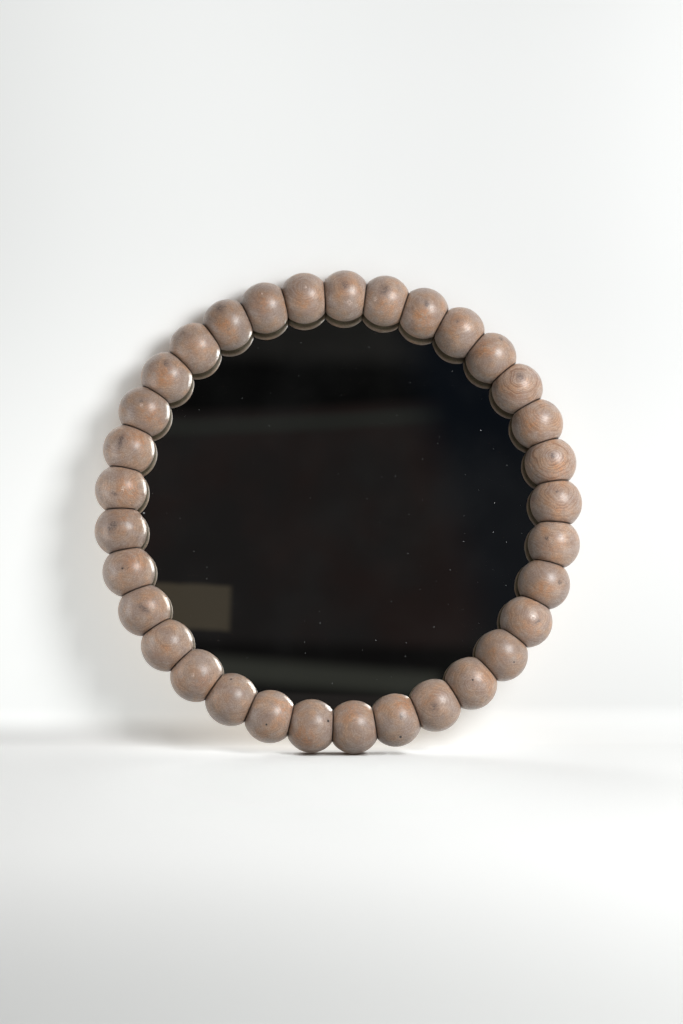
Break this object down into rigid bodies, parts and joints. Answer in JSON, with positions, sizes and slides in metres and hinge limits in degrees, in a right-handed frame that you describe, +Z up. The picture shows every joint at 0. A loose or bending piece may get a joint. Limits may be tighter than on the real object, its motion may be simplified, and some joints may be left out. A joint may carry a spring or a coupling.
{
  "type": "round mirror",
  "caption": "Round wall mirror: a silvered glass disc seated behind a closed ring of turned wooden balls, hung by two swinging wire rings.",
  "frame": {"origin": "on the mirror's own centre axis, in the plane of the wall that the rear bumpers press against", "axes": "+X to the right seen from the front, +Y into the wall, +Z up; the glass faces -Y"},
  "size_m": [0.9986, 0.098, 0.9976],
  "materials": {
    "turned_wood": "grey-brown stain under a satin varnish",
    "dowel_wood": "bare beech",
    "silvered_glass": "polished, silvered back",
    "grey_card": "matt grey card",
    "plywood": "sanded plywood",
    "screw_steel": "yellow zinc",
    "hanger_steel": "bright zinc",
    "black_rubber": "matt"
  },
  "bodies": {
    "frame": {"ball_01": "turned_wood", "ball_02": "turned_wood", "ball_03": "turned_wood", "ball_04": "turned_wood", "ball_05": "turned_wood", "ball_06": "turned_wood", "ball_07": "turned_wood", "ball_08": "turned_wood", "ball_09": "turned_wood", "ball_10": "turned_wood", "ball_11": "turned_wood", "ball_12": "turned_wood", "ball_13": "turned_wood", "ball_14": "turned_wood", "ball_15": "turned_wood", "ball_16": "turned_wood", "ball_17": "turned_wood", "ball_18": "turned_wood", "ball_19": "turned_wood", "ball_20": "turned_wood", "ball_21": "turned_wood", "ball_22": "turned_wood", "ball_23": "turned_wood", "ball_24": "turned_wood", "ball_25": "turned_wood", "ball_26": "turned_wood", "ball_27": "turned_wood", "ball_28": "turned_wood", "ball_29": "turned_wood", "ball_30": "turned_wood", "ball_31": "turned_wood", "ball_32": "turned_wood", "ball_33": "turned_wood", "ball_dowels": "dowel_wood", "mirror_glass": "silvered_glass", "backing_card": "grey_card", "back_board": "plywood", "board_screws": "screw_steel", "hanger_strap_left": "hanger_steel", "hanger_strap_right": "hanger_steel", "hanger_screws": "hanger_steel", "wall_bumpers": "black_rubber"},
    "ring_left": {"hanger_ring_left": "hanger_steel"},
    "ring_right": {"hanger_ring_right": "hanger_steel"}
  },
  "joints": [
    {"name": "ring_left_swing", "type": "hinge", "parent": "frame", "child": "ring_left", "pos_m": [-0.36215, -0.0041, 0.27966], "axis": [1, 0, 0], "range_deg": [0, 180]},
    {"name": "ring_right_swing", "type": "hinge", "parent": "frame", "child": "ring_right", "pos_m": [0.36215, -0.0041, 0.27966], "axis": [1, 0, 0], "range_deg": [0, 180]}
  ]
}
